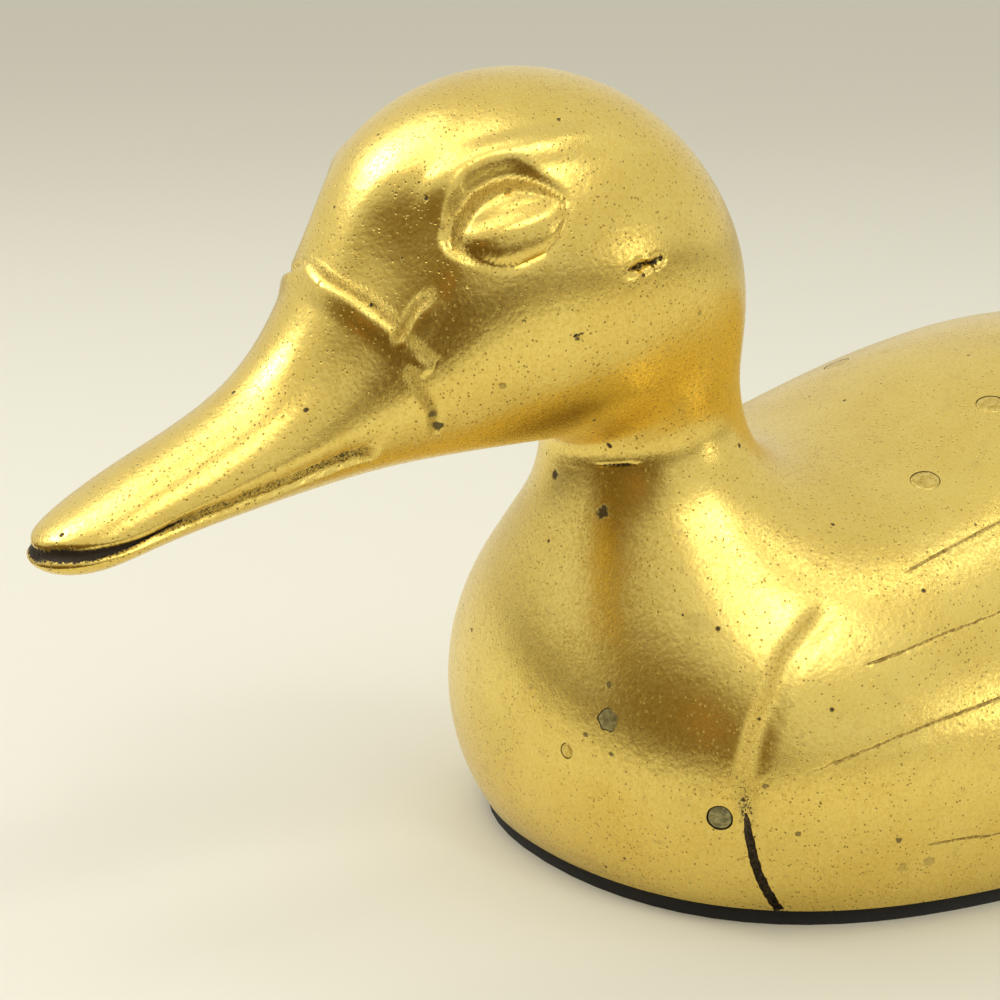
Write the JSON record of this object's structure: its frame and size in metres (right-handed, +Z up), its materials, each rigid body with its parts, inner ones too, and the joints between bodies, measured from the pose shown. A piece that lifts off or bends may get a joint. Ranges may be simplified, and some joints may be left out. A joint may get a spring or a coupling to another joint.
{
  "type": "brass duck ornament",
  "caption": "Hollow cast brass duck with a rounded head, flat bill and folded wing lines, standing on a felt-covered base.",
  "frame": {"origin": "centre of the bounding box's bottom face, on the ground under the felt", "axes": "+X towards the tail, +Y towards the duck's right side, +Z up"},
  "size_m": [0.279, 0.1074, 0.1187],
  "materials": {
    "body_brass": "worn satin polish with casting pits",
    "head_brass": "worn satin polish with casting pits",
    "braze": "filed flush",
    "plug_metal": "tarnished, filed flush",
    "board": "plain hardboard",
    "felt": "black felt"
  },
  "bodies": {
    "root": {"body_casting": "body_brass", "head_casting": "head_brass", "neck_braze_ring": "braze", "base_board": "board", "felt_pad": "felt", "breast_plug_left": "plug_metal", "breast_plug_right": "plug_metal", "fore_back_plug_left": "plug_metal", "fore_back_plug_right": "plug_metal", "aft_back_plug_left": "plug_metal", "aft_back_plug_right": "plug_metal", "crop_plug_left": "plug_metal", "crop_pin_left": "plug_metal"}
  },
  "joints": []
}
